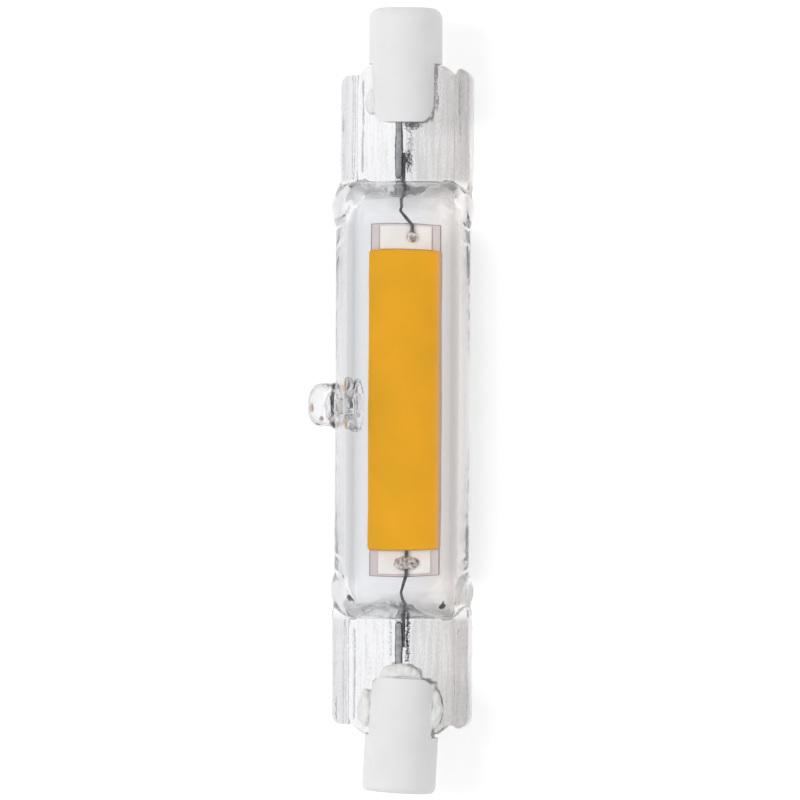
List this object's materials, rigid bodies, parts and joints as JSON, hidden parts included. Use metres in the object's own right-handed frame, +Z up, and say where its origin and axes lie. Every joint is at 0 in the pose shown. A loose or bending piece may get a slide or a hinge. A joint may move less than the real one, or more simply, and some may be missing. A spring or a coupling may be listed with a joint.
{
  "type": "linear led bulb",
  "caption": "Double-ended linear LED bulb: a clear glass tube pressed flat at both ends, recessed-contact ceramic caps, and one phosphor-coated LED strip on lead wires inside.",
  "frame": {"origin": "middle of the lamp, on the axis of the glass tube", "axes": "+X along the tube towards the right-hand cap, -Y towards the front, where the exhaust tip points, +Z up, out of the strip's coated side."},
  "size_m": [0.0782, 0.0167, 0.0134],
  "materials": {
    "clear_glass": "clear, glossy, finely grained on the pressed ends",
    "cap_ceramic": "matt white fired ceramic",
    "contact_metal": "nickel-plated, dull",
    "white_cement": "matt white cement, slightly grainy",
    "lead_metal": "drawn nickel-plated wire, grey",
    "strip_ceramic": "thin white fired ceramic, slightly translucent",
    "pad_metal": "fired silver film",
    "chip_crystal": "polished crystal",
    "bare_die": "dark polished silicon",
    "phosphor_silicone": "deep yellow-orange silicone, satin",
    "solder": "bright solder"
  },
  "bodies": {
    "root": {"glass_envelope": "clear_glass", "left_cap": "cap_ceramic", "right_cap": "cap_ceramic", "left_contact": "contact_metal", "right_contact": "contact_metal", "left_cement": "white_cement", "right_cement": "white_cement", "left_outer_lead": "lead_metal", "right_outer_lead": "lead_metal", "left_inner_lead": "lead_metal", "right_inner_lead": "lead_metal", "led_substrate": "strip_ceramic", "left_pad": "pad_metal", "right_pad": "pad_metal", "led_chips": "chip_crystal", "rectifier_die": "bare_die", "regulator_die": "bare_die", "phosphor_coat": "phosphor_silicone", "left_solder": "solder", "right_solder": "solder"}
  },
  "joints": []
}
